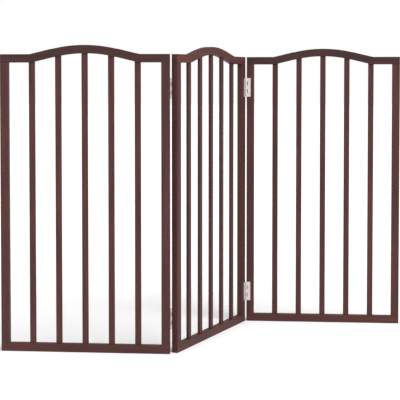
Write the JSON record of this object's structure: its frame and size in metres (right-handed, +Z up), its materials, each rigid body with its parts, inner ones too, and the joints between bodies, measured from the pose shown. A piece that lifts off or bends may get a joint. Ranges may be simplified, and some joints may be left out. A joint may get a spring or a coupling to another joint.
{
  "type": "pet gate",
  "caption": "Free-standing folding pet gate: arched timber panels with upright slats, joined by butt hinges so that the wings fold flat on the centre panel.",
  "frame": {"origin": "middle of the centre panel's foot, on the surface that the gate stands on", "axes": "+X along both wings at rest, +Y to the back of the gate, +Z up"},
  "size_m": [1.0828, 0.4534, 0.812],
  "materials": {
    "painted_frame": "dark espresso stain under a satin lacquer",
    "painted_slats": "dark espresso stain under a satin lacquer",
    "dowel_wood": "bare turned hardwood",
    "hinge_metal": "satin nickel plate",
    "pin_steel": "satin nickel plate",
    "screw_steel": "satin nickel plate"
  },
  "bodies": {
    "centre_panel": {"centre_top_rail": "painted_frame", "centre_bottom_rail": "painted_frame", "centre_panel_left_stile": "painted_frame", "centre_panel_right_stile": "painted_frame", "centre_slat_1": "painted_slats", "centre_slat_2": "painted_slats", "centre_slat_3": "painted_slats", "centre_slat_4": "painted_slats", "centre_slat_5": "painted_slats", "centre_corner_dowels": "dowel_wood", "left_upper_hinge_centre_leaf": "hinge_metal", "left_upper_centre_screws": "screw_steel", "left_lower_hinge_centre_leaf": "hinge_metal", "left_lower_centre_screws": "screw_steel", "right_upper_hinge_centre_leaf": "hinge_metal", "right_upper_centre_screws": "screw_steel", "right_lower_hinge_centre_leaf": "hinge_metal", "right_lower_centre_screws": "screw_steel"},
    "left_wing": {"left_top_rail": "painted_frame", "left_bottom_rail": "painted_frame", "left_panel_left_stile": "painted_frame", "left_panel_right_stile": "painted_frame", "left_slat_1": "painted_slats", "left_slat_2": "painted_slats", "left_slat_3": "painted_slats", "left_slat_4": "painted_slats", "left_slat_5": "painted_slats", "left_corner_dowels": "dowel_wood", "left_upper_hinge_wing_leaf": "hinge_metal", "left_upper_hinge_pin": "pin_steel", "left_upper_wing_screws": "screw_steel", "left_lower_hinge_wing_leaf": "hinge_metal", "left_lower_hinge_pin": "pin_steel", "left_lower_wing_screws": "screw_steel"},
    "right_wing": {"right_top_rail": "painted_frame", "right_bottom_rail": "painted_frame", "right_panel_left_stile": "painted_frame", "right_panel_right_stile": "painted_frame", "right_slat_1": "painted_slats", "right_slat_2": "painted_slats", "right_slat_3": "painted_slats", "right_slat_4": "painted_slats", "right_slat_5": "painted_slats", "right_corner_dowels": "dowel_wood", "right_upper_hinge_wing_leaf": "hinge_metal", "right_upper_hinge_pin": "pin_steel", "right_upper_wing_screws": "screw_steel", "right_lower_hinge_wing_leaf": "hinge_metal", "right_lower_hinge_pin": "pin_steel", "right_lower_wing_screws": "screw_steel"}
  },
  "joints": [
    {"name": "left_fold", "type": "hinge", "parent": "centre_panel", "child": "left_wing", "pos_m": [-0.09035, -0.20744, 0], "axis": [0, 0, 1], "range_deg": [-110.8, 69.2]},
    {"name": "right_fold", "type": "hinge", "parent": "centre_panel", "child": "right_wing", "pos_m": [0.09035, 0.20744, 0], "axis": [0, 0, 1], "range_deg": [-110.8, 69.2]}
  ]
}
